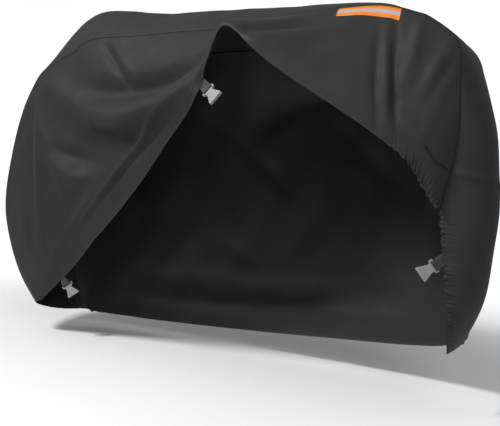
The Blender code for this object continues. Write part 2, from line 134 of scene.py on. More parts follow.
# A row for each section of the top strip, from the rear hem up, over and down to the front hem:
# its middle line (x, z), half its width, how far its seams lie inside the middle line, how far
# round its section curls in degrees, how much lower its far seam hangs than its near one, and the
# columns of the solid up to the next row.
Strip = namedtuple("Strip", "name x z half drop curl tilt columns")
STRIP = [
    Strip("rear_hem", -0.716, 0.100, 0.110, 0.012, 40, 0.045, 2),
    Strip("rear_tuck", -0.793, 0.168, 0.130, 0.036, 40, 0.020, 2),
    Strip("rear_low", -0.878, 0.310, 0.145, 0.050, 40, 0, 3),
    Strip("rear_mid", -0.920, 0.459, 0.150, 0.052, 40, 0, 4),
    Strip("rear_high", -0.900, 0.660, 0.150, 0.052, 40, 0, 4),
    Strip("rear_shoulder", -0.813, 0.905, 0.150, 0.052, 40, 0, 2),
    Strip("rear_corner", -0.758, 1.012, 0.150, 0.077, 40, 0, 3),
    Strip("rear_slope", -0.667, 1.136, 0.150, 0.152, 45, 0, 3),
    Strip("hump_rear", -0.544, 1.217, 0.150, 0.179, 50, 0, 4),
    Strip("hump_top", -0.430, 1.222, 0.150, 0.147, 50, 0, 4),
    Strip("hump_front", -0.330, 1.204, 0.150, 0.127, 50, 0, 4),
    Strip("dip", -0.220, 1.182, 0.150, 0.112, 45, 0, 4),
    Strip("middle", 0.000, 1.161, 0.150, 0.100, 40, 0, 3),
    Strip("crown_rear", 0.150, 1.147, 0.150, 0.094, 30, 0, 4),
    Strip("crown", 0.300, 1.133, 0.150, 0.077, 20, 0, 4),
    Strip("crown_front", 0.448, 1.118, 0.150, 0.056, 20, 0, 3),
    Strip("brow", 0.550, 1.108, 0.145, 0.046, 20, 0, 3),
    Strip("brow_front", 0.652, 1.090, 0.135, 0.031, 20, 0, 5),
    Strip("nose_top", 0.736, 1.043, 0.125, 0.005, 20, 0, 4),
    Strip("nose", 0.811, 1.001, 0.115, 0.003, 20, 0, 3),
    Strip("nose_front", 0.860, 0.946, 0.110, 0.004, 30, 0, 2),
    Strip("front_upper", 0.895, 0.871, 0.110, 0.028, 50, 0, 3),
    Strip("front_high", 0.927, 0.756, 0.110, 0.057, 65, 0, 3),
    Strip("front_mid", 0.941, 0.649, 0.110, 0.083, 75, 0, 3),
    Strip("front_belly", 0.946, 0.530, 0.112, 0.113, 80, 0, 2),
    Strip("front_low", 0.938, 0.421, 0.112, 0.097, 80, 0, 3),
    Strip("front_lower", 0.921, 0.302, 0.112, 0.067, 75, 0, 3),
    Strip("front_hem", 0.866, 0.167, 0.095, 0.004, 50, -0.018, 0),
]

# A row for each run of a side piece's columns: the strip row its seam end lies at, its hem point,
# how far out the cloth bellies between the two, and how far down the column it does so most.
Side = namedtuple("Side", "at hem_x hem_y hem_z belly peak")
NEAR = [
    Side("rear_hem", -0.660, -0.120, 0.130, -0.122, 0.5),
    Side("rear_low", -0.530, -0.143, 0.218, -0.165, 0.5),
    Side("rear_mid", -0.440, -0.160, 0.281, -0.185, 0.5),
    Side("rear_high", -0.350, -0.180, 0.353, -0.195, 0.5),
    Side("rear_corner", -0.250, -0.205, 0.424, -0.212, 0.6),
    Side("hump_rear", -0.130, -0.235, 0.512, -0.235, 0.9),
    Side("hump_front", -0.009, -0.270, 0.606, -0.270, 1.0),
    Side("middle", 0.130, -0.308, 0.727, -0.308, 1.0),
    Side("crown_rear", 0.232, -0.338, 0.834, -0.338, 1.0),
    Side("crown", 0.306, -0.352, 0.985, -0.352, 1.0),
    Side("crown_front", 0.430, -0.340, 0.898, -0.340, 1.0),
    Side("brow", 0.560, -0.295, 0.805, -0.295, 1.0),
    Side("brow_front", 0.665, -0.256, 0.733, -0.256, 1.0),
    Side("nose", 0.765, -0.205, 0.650, -0.205, 1.0),
    Side("front_upper", 0.788, -0.183, 0.614, -0.184, 1.0),
    Side("front_mid", 0.810, -0.155, 0.565, -0.158, 1.0),
    Side("front_belly", 0.826, -0.140, 0.535, -0.142, 1.0),
]
FAR = [
    Side("rear_hem", -0.665, 0.130, 0.060, 0.132, 0.5),
    Side("rear_low", -0.590, 0.158, 0.055, 0.180, 0.5),
    Side("rear_mid", -0.520, 0.175, 0.053, 0.205, 0.5),
    Side("rear_high", -0.430, 0.190, 0.052, 0.230, 0.5),
    Side("rear_corner", -0.330, 0.200, 0.054, 0.250, 0.45),
    Side("hump_front", -0.180, 0.205, 0.060, 0.270, 0.4),
    Side("middle", 0.020, 0.210, 0.070, 0.300, 0.3),
    Side("crown_rear", 0.140, 0.210, 0.077, 0.322, 0.20),
    Side("crown", 0.250, 0.210, 0.084, 0.340, 0.16),
    Side("crown_front", 0.360, 0.210, 0.092, 0.322, 0.20),
    Side("brow_front", 0.500, 0.205, 0.102, 0.290, 0.3),
    Side("nose", 0.610, 0.195, 0.112, 0.260, 0.4),
    Side("front_upper", 0.680, 0.185, 0.120, 0.225, 0.45),
    Side("front_high", 0.735, 0.175, 0.128, 0.200, 0.5),
    Side("front_belly", 0.790, 0.155, 0.142, 0.175, 0.5),
    Side("front_low", 0.825, 0.140, 0.152, 0.155, 0.5),
    Side("front_hem", 0.838, 0.120, 0.158, 0.120, 0.5),
]

# A row for each fold of the near side's solid: a curve through three places in side view (x, z), half
# its width, and how far it rises out of the cloth, or sinks into it where less than 0. The fittings
# are placed on the solid.
Fold = namedtuple("Fold", "name x0 z0 x1 z1 x2 z2 width rise crest", defaults=[0])
SOLID_FOLDS = [
    Fold("pinch_rib", -0.383, 1.081, -0.302, 1.007, -0.199, 0.923, 0.020, 0.013),
    Fold("pinch_groove", -0.334, 1.059, -0.264, 1.012, -0.190, 0.958, 0.018, -0.012),
    Fold("swag_hollow", 0.234, 0.902, -0.040, 0.882, -0.373, 0.869, 0.042, -0.030),
    Fold("swag_shelf", 0.206, 0.851, -0.107, 0.777, -0.610, 0.917, 0.042, 0.030),
    Fold("under_swag", 0.071, 0.762, -0.277, 0.731, -0.582, 0.851, 0.036, -0.020),
    Fold("low_swell", 0.002, 0.726, -0.214, 0.672, -0.405, 0.706, 0.032, 0.012),
    Fold("corner_dent", -0.557, 0.692, -0.440, 0.647, -0.292, 0.621, 0.022, -0.015),
    Fold("corner_lip", -0.534, 0.655, -0.419, 0.586, -0.302, 0.588, 0.024, 0.018),
    Fold("hem_rib", 0.213, 0.834, -0.169, 0.630, -0.565, 0.251, 0.020, 0.015),
    Fold("hem_valley", 0.190, 0.789, -0.131, 0.634, -0.445, 0.371, 0.020, -0.015),
    Fold("rear_groove", -0.712, 0.880, -0.661, 0.578, -0.678, 0.242, 0.018, -0.012),
    Fold("rear_rib", -0.663, 0.837, -0.622, 0.578, -0.638, 0.263, 0.018, 0.008),
    Fold("crown_hollow", 0.372, 0.955, 0.474, 0.979, 0.573, 1.024, 0.028, -0.014),
    Fold("nose_groove", 0.718, 1.031, 0.748, 0.869, 0.763, 0.693, 0.018, -0.012),
    Fold("nose_rib", 0.761, 1.015, 0.770, 0.880, 0.778, 0.731, 0.018, 0.010),
    Fold("brow_rib", 0.850, 0.952, 0.826, 0.891, 0.797, 0.806, 0.020, 0.011),
]

# The same folds as they show, finer, with the lesser ones between them. crest says how sharp a
# fold's crest is, 0 to 1.
NEAR_FOLDS = [
    Fold("pinch_groove", -0.360, 1.070, -0.270, 0.990, -0.130, 0.865, 0.017, -0.012, 0.1),
    Fold("pinch_rib", -0.320, 1.060, -0.245, 1.005, -0.115, 0.888, 0.018, 0.006, 0.0),
    Fold("swag_hollow", 0.300, 1.000, -0.030, 0.878, -0.500, 0.905, 0.042, -0.038, 0.0),
    Fold("swag_shelf", 0.270, 0.925, -0.060, 0.776, -0.480, 0.850, 0.048, 0.050, 0.0),
    Fold("swag_lip", 0.150, 0.820, -0.150, 0.745, -0.420, 0.800, 0.024, 0.008, 0.1),
    Fold("shelf_end", -0.160, 0.785, -0.459, 0.865, -0.720, 0.985, 0.042, 0.016, 0.0),
    Fold("under_swag", 0.120, 0.790, -0.243, 0.690, -0.620, 0.820, 0.055, -0.022, 0.0),
    Fold("cushion_top", -0.585, 0.715, -0.410, 0.655, -0.190, 0.635, 0.030, -0.016, 0.0),
    Fold("cushion_edge", -0.590, 0.665, -0.410, 0.590, -0.230, 0.562, 0.036, 0.021, 0.0),
    Fold("cushion_low", -0.290, 0.575, -0.365, 0.545, -0.450, 0.490, 0.026, -0.006, 0.0),
    Fold("cushion_side", -0.560, 0.655, -0.480, 0.560, -0.440, 0.420, 0.034, 0.007, 0.0),
    Fold("hem_rib", 0.245, 0.865, -0.100, 0.660, -0.500, 0.320, 0.015, 0.014, 0.2),
    Fold("hem_rib_low", -0.239, 0.575, -0.390, 0.460, -0.600, 0.250, 0.020, 0.009, 0.1),
    Fold("hem_valley", 0.180, 0.790, -0.100, 0.632, -0.380, 0.405, 0.011, -0.008, 0.3),
    Fold("rear_groove", -0.740, 0.965, -0.674, 0.613, -0.654, 0.230, 0.026, -0.011, 0.0),
    Fold("rear_rib", -0.680, 0.940, -0.618, 0.614, -0.602, 0.240, 0.028, 0.008, 0.0),
    Fold("left_line", -0.671, 0.850, -0.600, 0.744, -0.527, 0.681, 0.028, 0.006, 0.1),
    Fold("edge_roll", 0.297, 1.020, 0.268, 0.935, 0.226, 0.850, 0.011, 0.007, 0.2),
    Fold("edge_groove", 0.262, 1.020, 0.238, 0.925, 0.200, 0.852, 0.013, -0.008, 0.2),
    Fold("crown_hollow", 0.345, 0.955, 0.440, 0.997, 0.620, 1.035, 0.020, -0.013, 0.2),
    Fold("crown_swell", 0.360, 0.925, 0.455, 0.955, 0.640, 0.985, 0.028, 0.008, 0.0),
    Fold("streak", 0.430, 0.915, 0.512, 0.921, 0.600, 0.924, 0.014, -0.004, 0.1),
    Fold("groove_a", 0.662, 1.045, 0.692, 0.842, 0.712, 0.670, 0.010, -0.009, 0.3),
    Fold("rib_a", 0.686, 1.045, 0.713, 0.843, 0.731, 0.680, 0.010, 0.007, 0.3),
    Fold("groove_b", 0.702, 1.050, 0.734, 0.842, 0.755, 0.655, 0.011, -0.011, 0.3),
    Fold("rib_b", 0.772, 1.045, 0.764, 0.930, 0.757, 0.800, 0.018, 0.010, 0.1),
    Fold("rib_c", 0.862, 0.985, 0.818, 0.880, 0.785, 0.780, 0.017, 0.009, 0.1),
    Fold("rib_c_groove", 0.872, 0.930, 0.838, 0.860, 0.810, 0.780, 0.014, -0.003, 0.1),
]

# The far side's folds, rising away from the inside
FAR_FOLDS = [
    Fold("hem_roll", -0.640, 0.140, 0.011, 0.152, 0.740, 0.205, 0.026, -0.016, 0.1),
    Fold("over_roll", -0.660, 0.231, -0.003, 0.229, 0.730, 0.265, 0.034, 0.012, 0.0),
    Fold("drape_a", -0.240, 0.905, -0.006, 0.703, 0.230, 0.505, 0.036, 0.014, 0.2),
    Fold("drape_b", -0.170, 0.410, -0.024, 0.338, 0.120, 0.275, 0.040, 0.012, 0.1),
    Fold("drape_c", 0.270, 0.850, 0.455, 0.693, 0.600, 0.570, 0.045, 0.012, 0.1),
    Fold("drape_d", -0.500, 0.590, -0.311, 0.409, -0.170, 0.250, 0.035, -0.012, 0.1),
    Fold("drape_e", -0.640, 0.850, -0.560, 0.600, -0.540, 0.300, 0.040, 0.010, 0.1),
    Fold("drape_f", 0.700, 0.850, 0.690, 0.620, 0.640, 0.350, 0.040, -0.010, 0.1),
]

# A row for each buckle strap: the cloth it is sewn under, the column of its solid's grid, how far it
# turns from square to the hem, in degrees, the distance from the hem to the buckle, and how far the
# webbing twists over that distance, in degrees.
Strap = namedtuple("Strap", "name under column turn reach twist")
STRAPS = [
    Strap("rear", "near_side", 4.2, -6, 0.025, -40),
    Strap("middle", "near_side", 42.2, -12, 0.029, -20),
    Strap("front", "top_strip", 81.7, 30, 0.019, -28),
]

# A row for each place that the slit's middle line passes: column and row of the near side's solid
Place = namedtuple("Place", "column row")
SLIT = [Place(69.6, 13.5), Place(71.4, 12.2), Place(74.2, 8.9), Place(76.0, 4.0)]


# ---------------------------------------------------------------- the cloth's form

def spline(knots, values, at):
    """Values at the places in at, on the natural cubic curve through (knots, values)."""
    knots = np.asarray(knots, float)
    values = np.asarray(values, float).reshape(len(knots), -1)
    span = np.diff(knots)
    system = np.eye(len(knots))
    right = np.zeros_like(values)
    for i in range(1, len(knots) - 1):
        system[i, i - 1:i + 2] = span[i - 1], 2 * (span[i - 1] + span[i]), span[i]
        slopes = (values[i:i + 2] - values[i - 1:i + 1]) / span[i - 1:i + 1, None]
        right[i] = 6 * (slopes[1] - slopes[0])
    bend = np.linalg.solve(system, right)
    at = np.asarray(at, float)
    cell = np.clip(np.searchsorted(knots, at, side="right") - 1, 0, len(span) - 1)
    width = span[cell][:, None]
    b = (at[:, None] - knots[cell][:, None]) / width
    a = 1 - b
    curve = (a ** 3 - a) * bend[cell] + (b ** 3 - b) * bend[cell + 1]
    return a * values[cell] + b * values[cell + 1] + curve * width ** 2 / 6


def row_number(name):
    return [row.name for row in STRIP].index(name)


def strip_knots():
    """Distance along the strip's middle line of each of its rows."""
    steps = [math.dist((a.x, a.z), (b.x, b.z)) for a, b in zip(STRIP, STRIP[1:])]
    return np.concatenate([[0], np.cumsum(steps)])


def columns():
    """Distance along the strip of every column of the solids."""
    knots = strip_knots()
    runs = [np.linspace(a, b, row.columns, endpoint=False)
            for a, b, row in zip(knots, knots[1:], STRIP)]
    return np.concatenate(runs + [knots[-1:]])


def strip_surface(at, across):
    """Points of the strip at distances at along it and -1 (near seam) to 1 (far seam) across."""
    knots = strip_knots()
    rows = [(row.x, row.z, row.half, row.drop, math.radians(row.curl), row.tilt) for row in STRIP]
    middle = spline(knots, rows, at)
    step = 1e-4
    tangent = spline(knots, rows, at + step)[:, :2] - spline(knots, rows, at - step)[:, :2]
    tangent /= np.linalg.norm(tangent, axis=1)[:, None]
    x, z, half, drop, curl, tilt = middle.T[:, :, None]
    y = half * np.sin(curl * across) / np.sin(curl)
    inset = drop * (np.sqrt(across ** 2 + 1) - 1) / (math.sqrt(2) - 1)
    z = z - tilt * (across + 1) / 2
    return np.stack([x + inset * tangent[:, 1:], y, z - inset * tangent[:, :1]], -1)


def side_surface(table, seam, at, down):
    """Points of a side piece; down holds each column's places from the seam (0) to the hem (1)."""
    knots = strip_knots()[[row_number(row.at) for row in table]]
    rows = spline(knots, [row[1:] for row in table], at)
    hem, belly, peak = rows[:, None, :3], rows[:, 3:4], np.clip(rows[:, 4:5], 0.05, 1)
    points = seam[:, None] + (hem - seam[:, None]) * down[:, :, None]
    fall = np.clip(down / peak, 0, 1)
    rest = np.clip((down - peak) / np.maximum(1 - peak, 1e-6), 0, 1)
    start, end = seam[:, 1:2], hem[:, 0, 1:2]
    out = start + (belly - start) * np.sin(fall * math.pi / 2)
    back = (end - belly) * (1 - np.cos(rest * math.pi / 2))
    points[:, :, 1] = out + back
    return points


def normals(points):
    """Unit normals of a grid of points."""
    along = np.gradient(points, axis=0)
    across = np.gradient(points, axis=1)
    normal = np.cross(along, across)
    return normal / np.linalg.norm(normal, axis=2)[:, :, None]


def fold_lift(fold, points, taper=SOFT_TAPER):
    """How far one fold lifts each point: a soft swell with a narrower crest on it."""
    ends = np.array([[fold.x0, fold.z0], [fold.x2, fold.z2]])
    bend = 2 * np.array([fold.x1, fold.z1]) - ends.mean(axis=0)
    t = np.linspace(0, 1, 61)[:, None]
    curve = (1 - t) ** 2 * ends[0] + 2 * t * (1 - t) * bend + t ** 2 * ends[1]
    flat = points[:, :, ::2].reshape(-1, 2)
    away = np.full(len(flat), np.inf)
    place = np.zeros(len(flat))
    for i in range(len(t) - 1):
        leg = curve[i + 1] - curve[i]
        along = np.clip(((flat - curve[i]) @ leg) / (leg @ leg), 0, 1)
        gap = np.linalg.norm(flat - curve[i] - along[:, None] * leg, axis=1)
        nearer = gap < away
        away[nearer] = gap[nearer]
        place[nearer] = (i + along[nearer]) / (len(t) - 1)
    ratio = away / fold.width
    swell = (1 - fold.crest) * np.exp(-ratio ** 2) + fold.crest * np.exp(-(ratio / 0.5) ** 2)
    fade = np.sin(math.pi * place) ** taper
    return (fold.rise * swell * fade).reshape(points.shape[:2])


def folded(points, out, folds, taper=SOFT_TAPER):
    """The points, lifted along out by a table of folds."""
    lift = sum(fold_lift(fold, points, taper) for fold in folds)
    return points + out * lift[:, :, None]


def unevenness(points, size, depth):
    """Slow swells of the cloth, as uneven as cloth is, from a few crossing waves."""
    x, _, z = np.moveaxis(points, 2, 0) * (2 * math.pi / size)
    waves = np.sin(0.93 * x + 0.41 * z + 1.3) + np.sin(-0.52 * x + 1.07 * z + 0.4 * np.sin(0.6 * x))
    waves += 0.7 * np.sin(1.61 * x - 0.83 * z + 2.1 + 0.7 * np.sin(0.5 * z))
    return depth * waves / 2


def start_after_seam(points):
    """Move the first row of points square off the seam, by the gap between the two solids."""
    seam = np.gradient(points[:, 0], axis=0)
    seam /= np.linalg.norm(seam, axis=1)[:, None]
    away = points[:, 1] - points[:, 0]
    away -= (away * seam).sum(axis=1)[:, None] * seam
    points[:, 0] += SEAM_GAP * away / np.linalg.norm(away, axis=1)[:, None]


def fine_strip(at, across):
    """Points of the strip at any place, on smooth curves through its solid's own columns, which are
    eased over the hump, where its seams turn tightly."""
    drawn = strip_surface(SOLID_AT, across).reshape(len(SOLID_AT), -1)
    hump = (ramp(SOLID_AT, *EASED_FROM) * (1 - ramp(SOLID_AT, *EASED_TO)))[1:-1, None]
    for _ in range(EASED_TIMES):
        eased = (drawn[:-2] + 2 * drawn[1:-1] + drawn[2:]) / 4
        drawn[1:-1] += hump * (eased - drawn[1:-1])
    return spline(SOLID_AT, drawn, at).reshape(len(at), len(across), 3)


def creased_strip(at, across):
    """Points of the strip, with the near side's folds running on over its near edge, and the unit
    normals out of the cover."""
    points = fine_strip(at, across)
    out = normals(points)
    if across[0] > across[-1]:
        out = -out
    lift = sum(fold_lift(fold, points) for fold in NEAR_FOLDS) * (1 - ramp(across, -0.85, -0.2))
    return points + out * lift[:, :, None], out


def tuck_under_strip(points, at, side):
    """Lay a side piece's seam allowance under the strip's edge; side is -1 near or 1 far."""
    rim, _ = creased_strip(at, np.array([1.0, 0.98, 0.96]) * side)
    inward = rim[:, 2] - rim[:, 0]
    inward /= np.linalg.norm(inward, axis=1)[:, None]
    run = np.gradient(rim[:, 0], axis=0)
    under = np.cross(run, inward) * side
    under /= np.linalg.norm(under, axis=1)[:, None]
    points[:, 0] = rim[:, 0] + SEAM_ALLOWANCE * inward + UNDER_END * under
    points[:, 1] = rim[:, 0] + UNDER_EDGE * under


def lengths(points, axis):
    """Distance of each point along its own grid line, from that line's start."""
    steps = np.linalg.norm(np.diff(points, axis=axis), axis=2)
    return np.insert(np.cumsum(steps, axis=axis), 0, 0, axis=axis)


def hem_shape(inward):
    """How far the turned hem stands out at a distance inward from its edge."""
    band = (1 - np.tanh((inward - HEM_BAND) / 0.0024)) / 2
    groove = np.exp(-((inward - (HEM_BAND - 0.003)) / 0.0012) ** 2)
    edge = np.exp(-(inward / 0.002) ** 2)
    return HEM_PROUD * (band - 0.5 * groove - 0.5 * edge)


def seam_shape(inward):
    return -SEAM_SINK * np.exp(-(inward / SEAM_SOFT) ** 2)


def gathers(along, inward, strength, pleat=PLEAT):
    """Small uneven pleats that the elastic in a hem draws up, dying out away from it."""
    turn = 2 * math.pi * along / pleat
    wander = 45 * inward * np.sin(0.31 * turn + 1.2)
    pleats = np.sin(turn + 0.9 * np.sin(0.37 * turn) + 0.5 * np.sin(1.31 * turn + 1) + wander)
    pleats += 0.5 * np.sin(1.73 * turn + 1.1 * np.sin(0.29 * turn + 2) - wander)
    uneven = 0.75 + 0.35 * np.sin(0.21 * turn + 0.7) * np.sin(0.083 * turn)
    reach = PLEAT_REACH * (1 + 0.45 * np.sin(0.47 * turn + 0.3))
    return PLEAT_DEPTH * strength * pleats * uneven * np.exp(-(inward / reach) ** 1.4)


def scallop(along, inward, strength):
    """How far the gathered hem's edge is drawn in, in the cloth's own plane."""
    turn = 2 * math.pi * along / PLEAT
    waves = np.sin(0.5 * turn + 1.1 * np.sin(0.23 * turn)) + 0.6 * np.sin(1.13 * turn + 0.8)
    return SCALLOP * strength * (waves + 0.6) * np.exp(-inward / SCALLOP_REACH)


def rubbed(inward):
    """How pale the cloth is rubbed at a distance inward from its hem."""
    return RUBBED * np.exp(-inward / RUB_REACH)


def ramp(values, start, full):
    """0 before start and 1 past full, smoothly."""
    t = np.clip((values - start) / (full - start), 0, 1)
    return t * t * (3 - 2 * t)


# ---------------------------------------------------------------- meshes

def row_frame(points):
    """The tables' heights are above the ground; the model's origin is under the top strip."""
    return np.asarray(points) - (0, 0, REST_HEIGHT)


def put(name, mesh, materials, replaces=()):
    """A piece of the cover from its mesh, in the row frame."""
    piece = bpy.data.objects.new(name, mesh)
    scene.collection.objects.link(piece)
    for material in materials:
        mesh.materials.append(material)
    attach(piece, "root")
    if replaces:
        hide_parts(*replaces)
    return piece


def sheet_mesh(name, points, flat, wear=None):
    """A grid of cells laid through the points; flat gives each point's place on the cut cloth."""
    last = np.array(points.shape[:2]) - 1
    bm = bmesh.new()
    bmesh.ops.create_grid(bm, x_segments=last[0], y_segments=last[1], size=1)
    bm.verts.ensure_lookup_table()
    spots = np.array([vert.co[:2] for vert in bm.verts])
    cells = np.rint((spots + 1) / 2 * last).astype(int)
    placed = row_frame(points)[cells[:, 0], cells[:, 1]]
    for vert, place in zip(bm.verts, placed):
        vert.co = place
    cut = flat[cells[:, 0], cells[:, 1]]
    layer = bm.loops.layers.uv.new("cut")
    for face in bm.faces:
        for loop in face.loops:
            loop[layer].uv = cut[loop.vert.index]
    mesh = bpy.data.meshes.new(name)
    bm.to_mesh(mesh)
    bm.free()
    if wear is not None:
        worn = mesh.attributes.new("wear", "FLOAT", "POINT")
        worn.data.foreach_set("value", wear[cells[:, 0], cells[:, 1]].astype(np.float32))
    mesh.shade_smooth()
    return mesh


def lay(name, points, flat, materials, node_name, wear=None):
    """A piece that is one grid of cloth, tape or webbing, in place of its solid."""
    return put(name, sheet_mesh(name, points, flat, wear), materials, [node_name])


def thicken(piece, thick, behind=0):
    """Give a sheet its thickness. The face that its grid's normals don't point to takes the material
    that comes behind places later in the sheet's own list."""
    solid = piece.modifiers.new("thickness", "SOLIDIFY")
    solid.thickness = thick
    solid.offset = 0
    solid.material_offset = behind


def stitches(name, lines, materials, stitch=STITCH, pitch=STITCH_PITCH):
    """Sewing thread along lines of (points, normals): one mesh of short arched stitches."""
    arch = np.array([-0.5, -0.25, 0.25, 0.5])
    height = np.array([-0.8, 0.5, 0.5, -0.8])
    girth = np.array([0.6, 1, 1, 0.6])
    ring = np.array([(math.cos(a), math.sin(a)) for a in np.radians((90, 210, 330))])
    verts, faces = [], []
    for points, outs in lines:
        far = np.insert(np.cumsum(np.linalg.norm(np.diff(points, axis=0), axis=1)), 0, 0)
        middles = np.arange(pitch / 2, far[-1], pitch)
        spot, ahead, out = (
            np.stack([np.interp(where, far, values[:, i]) for i in range(3)], 1)
            for where, values in ((middles, points), (middles + pitch / 4, points), (middles, outs)))
        run = ahead - spot
        run /= np.maximum(np.linalg.norm(run, axis=1)[:, None], 1e-9)
        out -= (out * run).sum(1)[:, None] * run
        out /= np.linalg.norm(out, axis=1)[:, None]
        beside = np.cross(run, out)
        for s, r, o, b in zip(spot, run, out, beside):
            first = len(verts)
            for a, h, g in zip(arch, height, girth):
                heart = s + r * a * stitch + o * h * THREAD
                verts += [heart + (b * u + o * v) * THREAD * g for u, v in ring]
            for i in range(len(arch) - 1):
                for j in range(3):
                    k = (j + 1) % 3
                    corner = first + 3 * i
                    faces.append((corner + j, corner + k, corner + 3 + k, corner + 3 + j))
            end = first + 3 * (len(arch) - 1)
            faces.append((first + 2, first + 1, first))
            faces.append((end, end + 1, end + 2))
    mesh = bpy.data.meshes.new(name)
    mesh.from_pydata(row_frame(verts).tolist(), [], faces)
    mesh.shade_smooth()
    return put(name, mesh, materials)


# ---------------------------------------------------------------- materials

def linear(hex_colour):
    """An sRGB hex colour as linear RGBA."""
    parts = [int(hex_colour[i:i + 2], 16) / 255 for i in (1, 3, 5)]
    return (*[c / 12.92 if c <= 0.04045 else ((c + 0.055) / 1.055) ** 2.4 for c in parts], 1)


def material(name):
    made = bpy.data.materials.new(name)
    made.use_nodes = True
    return made, made.node_tree, made.node_tree.nodes["Principled BSDF"]


def node(tree, kind, settings=(), **links):
    """Add a node. settings are its properties and unlinked inputs, links its linked inputs."""
    made = tree.nodes.new("ShaderNode" + kind)
    for key, value in dict(settings).items():
        if isinstance(key, int) or key in made.inputs:
            made.inputs[key].default_value = value
        else:
            setattr(made, key, value)
    for key, socket in links.items():
        index = int(key[1:]) if key[0] == "i" and key[1:].isdigit() else key.replace("_", " ")
        tree.links.new(socket, made.inputs[index])
    return made


def thread_waves(tree, along, across):
    """Waves over the cut cloth for the threads of its two directions, from their spacings."""
    parts = node(tree, "SeparateXYZ", Vector=node(tree, "UVMap", {"uv_map": "cut"}).outputs["UV"])
    waves = []
    for axis, spacing in (("X", along), ("Y", across)):
        turns = node(tree, "Math", {"operation": "MULTIPLY", 1: 2 * math.pi / spacing},
                     i0=parts.outputs[axis])
        waves.append(node(tree, "Math", {"operation": "SINE"}, i0=turns.outputs[0]).outputs[0])
    return waves


def coated_polyester(name, colour, worn, roughness, coarse):
    """Woven polyester with a thin coating: even, matt and dark, a fine square weave only close by,
    slightly paler where it rubs. Real threads lie 0.25 mm apart, too fine to show, so coarse is the
    spacing that they are drawn at."""
    made, tree, shader = material(name)
    place = node(tree, "TexCoord").outputs["Object"]
    warp, weft = thread_waves(tree, coarse, coarse)
    weave = node(tree, "Math", {"operation": "MULTIPLY"}, i0=warp, i1=weft)
    crumple = node(tree, "TexNoise", {"Scale": 26.0, "Detail": 4.0, "Roughness": 0.55}, Vector=place)
    slow = node(tree, "TexNoise", {"Scale": 5.0, "Detail": 3.0, "Roughness": 0.5}, Vector=place)
    fine = node(tree, "TexNoise", {"Scale": 900.0, "Detail": 2.0}, Vector=place)
    cloud = node(tree, "MapRange", {"From Min": 0.3, "From Max": 0.7, "To Min": 0.90, "To Max": 1.10},
                 Value=slow.outputs["Fac"])
    speck = node(tree, "MapRange", {"From Min": 0.3, "From Max": 0.7, "To Min": 0.94, "To Max": 1.06},
                 Value=fine.outputs["Fac"])
    tone = node(tree, "Math", {"operation": "MULTIPLY"}, i0=cloud.outputs[0], i1=speck.outputs[0])
    rub = node(tree, "Attribute", {"attribute_name": "wear"})
    rubbed = node(tree, "Math", {"operation": "MULTIPLY"}, i0=rub.outputs["Fac"], i1=cloud.outputs[0])
    base = node(tree, "Mix", {"data_type": "RGBA", 6: linear(colour), 7: linear(worn)},
                i0=rubbed.outputs[0])
    shade = node(tree, "VectorMath", {"operation": "SCALE"}, i0=base.outputs[2], Scale=tone.outputs[0])
    tree.links.new(shade.outputs[0], shader.inputs["Base Color"])
    shine = node(tree, "MapRange", {"From Min": 0.3, "From Max": 0.7,
                                    "To Min": roughness - 0.05, "To Max": roughness + 0.07},
                 Value=crumple.outputs["Fac"])
    tree.links.new(shine.outputs[0], shader.inputs["Roughness"])
    woven = node(tree, "Bump", {"Strength": 0.35, "Distance": 0.12 * MM}, Height=weave.outputs[0])
    bumped = node(tree, "Bump", {"Strength": 0.5, "Distance": 1.1 * MM}, Height=crumple.outputs["Fac"],
                  Normal=woven.outputs[0])
    tree.links.new(bumped.outputs[0], shader.inputs["Normal"])
    shader.inputs["IOR"].default_value = 1.5
    shader.inputs["Specular IOR Level"].default_value = 0.22
    shader.inputs["Sheen Weight"].default_value = 0.02
    shader.inputs["Sheen Roughness"].default_value = 0.5
    return made


def woven_webbing():
    """Webbing woven flat with ribs across it: matt, dark, with a soft thread sheen."""
    made, tree, shader = material("woven polypropylene webbing")
    ribs, cords = thread_waves(tree, 1.6 * MM, 2.2 * MM)
    weave = node(tree, "Math", {"operation": "ADD"}, i0=ribs, i1=cords)
    # The colour is painted darker in the weave's hollows and lighter on its raised threads, a painted
    # shade and highlight that follows the same weave as the bump
    tone = node(tree, "ValToRGB", Fac=node(
        tree, "MapRange", {"From Min": -2.0, "From Max": 2.0}, Value=weave.outputs[0]).outputs[0])
    tone.color_ramp.elements[0].color = linear("#1c1c1c")
    tone.color_ramp.elements[1].color = linear("#3c3c3c")
    tree.links.new(tone.outputs["Color"], shader.inputs["Base Color"])
    bumped = node(tree, "Bump", {"Strength": 0.8, "Distance": 0.3 * MM}, Height=weave.outputs[0])
    tree.links.new(bumped.outputs[0], shader.inputs["Normal"])
    shader.inputs["Roughness"].default_value = 0.7
    shader.inputs["Sheen Weight"].default_value = 0.15
    shader.inputs["Specular IOR Level"].default_value = 0.35
    return made


def acetal():
    """Injection-moulded acetal: mid grey, waxy, with a fine spark-eroded skin that blurs its gloss."""
    made, tree, shader = material("moulded grey acetal")
    place = node(tree, "TexCoord").outputs["Object"]
    skin = node(tree, "TexNoise", {"Scale": 2600.0, "Detail": 2.0}, Vector=place)
    flow = node(tree, "TexNoise", {"Scale": 60.0, "Detail": 3.0}, Vector=place)
    tone = node(tree, "ValToRGB", Fac=flow.outputs["Fac"])
    tone.color_ramp.elements[0].position = 0.35
    tone.color_ramp.elements[0].color = linear("#777775")
    tone.color_ramp.elements[1].position = 0.65
    tone.color_ramp.elements[1].color = linear("#82827f")
    tree.links.new(tone.outputs["Color"], shader.inputs["Base Color"])
    bumped = node(tree, "Bump", {"Strength": 0.3, "Distance": 0.05 * MM}, Height=skin.outputs["Fac"])
    tree.links.new(bumped.outputs[0], shader.inputs["Normal"])
    shader.inputs["Roughness"].default_value = 0.42
    shader.inputs["IOR"].default_value = 1.48
    return made


